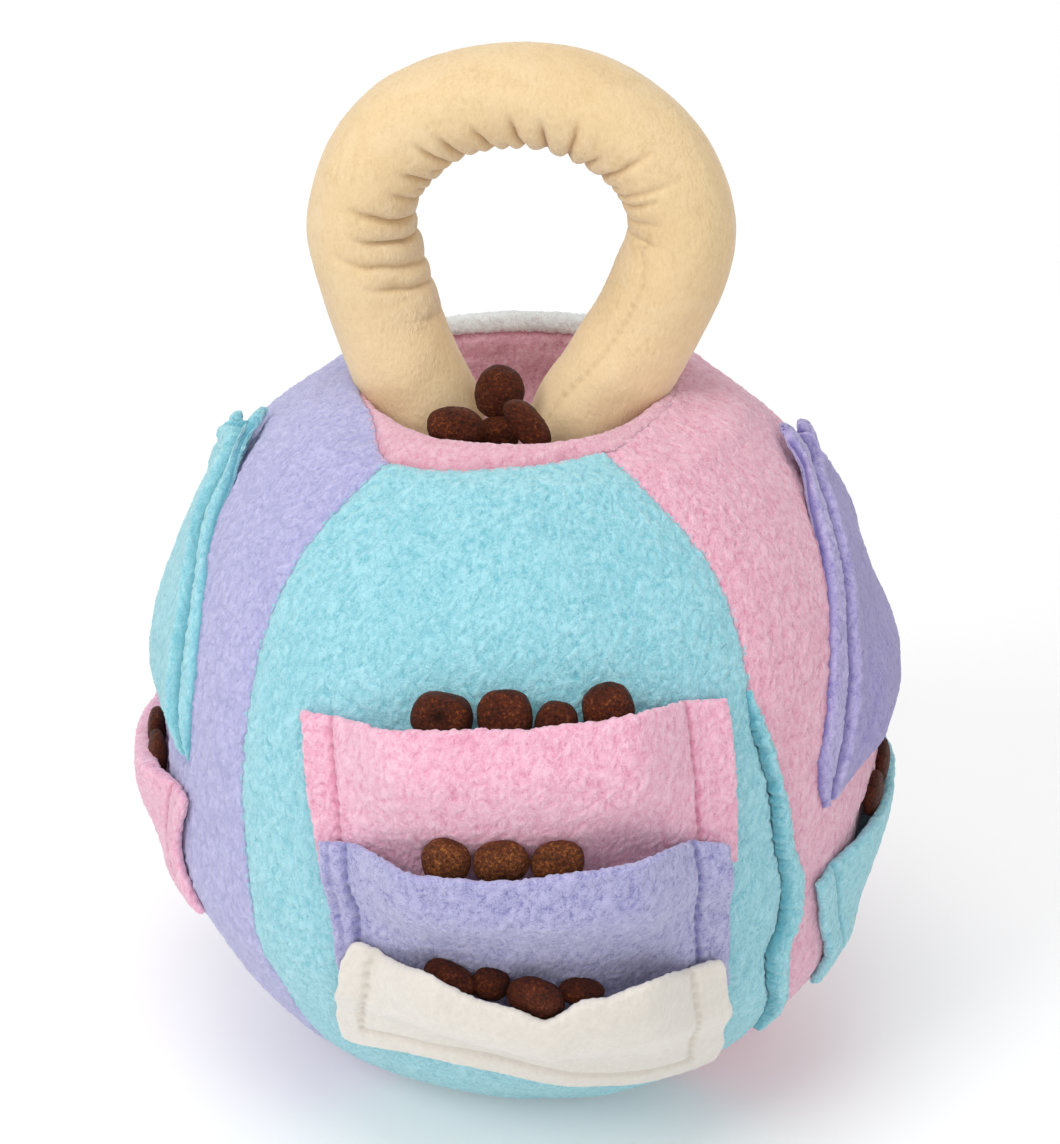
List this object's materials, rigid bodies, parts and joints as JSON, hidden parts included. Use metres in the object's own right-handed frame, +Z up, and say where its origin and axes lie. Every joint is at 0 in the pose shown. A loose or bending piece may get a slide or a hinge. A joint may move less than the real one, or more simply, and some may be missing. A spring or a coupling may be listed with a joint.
{
  "type": "fleece puzzle feeder toy",
  "caption": "Stuffed fleece ball for a pet, with a loop handle sewn into a cup-shaped mouth and patch pockets all round that hold dry kibble.",
  "frame": {"origin": "centre of the flat foot patch, on the surface that the toy stands on", "axes": "+Z up through the mouth and the handle, -Y the front with its three pockets, +X to the right seen from the front"},
  "size_m": [0.1791, 0.1898, 0.2335],
  "materials": {
    "aqua_fleece": "napped polar fleece, aqua",
    "lavender_fleece": "napped polar fleece, lavender",
    "pink_fleece": "napped polar fleece, pink",
    "white_fleece": "fleece, off-white",
    "cream_velvet": "short-pile velvet, cream",
    "filling": "polyester fibre filling",
    "kibble": "dry baked pet food, grainy brown"
  },
  "bodies": {
    "ball": {"gore_front_aqua": "aqua_fleece", "gore_right_pink": "pink_fleece", "gore_back_white": "white_fleece", "gore_left_lavender": "lavender_fleece", "base_patch": "pink_fleece", "mouth_lining": "pink_fleece", "body_stuffing": "filling", "closing_seam_lap": "aqua_fleece", "pocket_front_top_pink": "pink_fleece", "pocket_front_middle_lavender": "lavender_fleece", "pocket_front_low_white": "white_fleece", "pocket_left_flap_aqua": "aqua_fleece", "pocket_left_low_pink": "pink_fleece", "pocket_right_flap_lavender": "lavender_fleece", "pocket_right_low_aqua": "aqua_fleece", "pocket_back_top_lavender": "lavender_fleece", "pocket_back_middle_aqua": "aqua_fleece", "pocket_back_low_pink": "pink_fleece"},
    "handle": {"handle_cover": "cream_velvet", "handle_stuffing": "filling"},
    "kibble_in_front_top": {"kibble_front_top_1": "kibble", "kibble_front_top_2": "kibble", "kibble_front_top_3": "kibble", "kibble_front_top_4": "kibble"},
    "kibble_in_front_middle": {"kibble_front_middle_1": "kibble", "kibble_front_middle_2": "kibble", "kibble_front_middle_3": "kibble"},
    "kibble_in_front_low": {"kibble_front_low_1": "kibble", "kibble_front_low_2": "kibble", "kibble_front_low_3": "kibble", "kibble_front_low_4": "kibble"},
    "kibble_in_left_low": {"kibble_left_low_1": "kibble", "kibble_left_low_2": "kibble"},
    "kibble_in_right_low": {"kibble_right_low_1": "kibble", "kibble_right_low_2": "kibble"},
    "kibble_in_mouth": {"kibble_mouth_1": "kibble", "kibble_mouth_2": "kibble", "kibble_mouth_3": "kibble", "kibble_mouth_4": "kibble", "kibble_mouth_5": "kibble", "kibble_mouth_6": "kibble", "kibble_mouth_7": "kibble"}
  },
  "joints": [
    {"name": "handle_swing", "type": "hinge", "parent": "ball", "child": "handle", "pos_m": [0, 0, 0.15], "axis": [1, 0, 0], "range_deg": [-15, 15], "stiffness_Nm_per_rad": 0.15},
    {"name": "front_top_kibble_out", "type": "slide", "parent": "ball", "child": "kibble_in_front_top", "axis": [0, 0, 1], "range_m": [0, 0.03]},
    {"name": "front_middle_kibble_out", "type": "slide", "parent": "ball", "child": "kibble_in_front_middle", "axis": [0, -0.4226, 0.9063], "range_m": [0, 0.03]},
    {"name": "front_low_kibble_out", "type": "slide", "parent": "ball", "child": "kibble_in_front_low", "axis": [0, -0.6402, 0.7682], "range_m": [0, 0.03]},
    {"name": "left_kibble_out", "type": "slide", "parent": "ball", "child": "kibble_in_left_low", "axis": [-0.8809, -0.1553, 0.4472], "range_m": [0, 0.03]},
    {"name": "right_kibble_out", "type": "slide", "parent": "ball", "child": "kibble_in_right_low", "axis": [0.8809, -0.1553, 0.4472], "range_m": [0, 0.03]},
    {"name": "mouth_kibble_out", "type": "slide", "parent": "ball", "child": "kibble_in_mouth", "axis": [0, 0, 1], "range_m": [0, 0.03]}
  ]
}
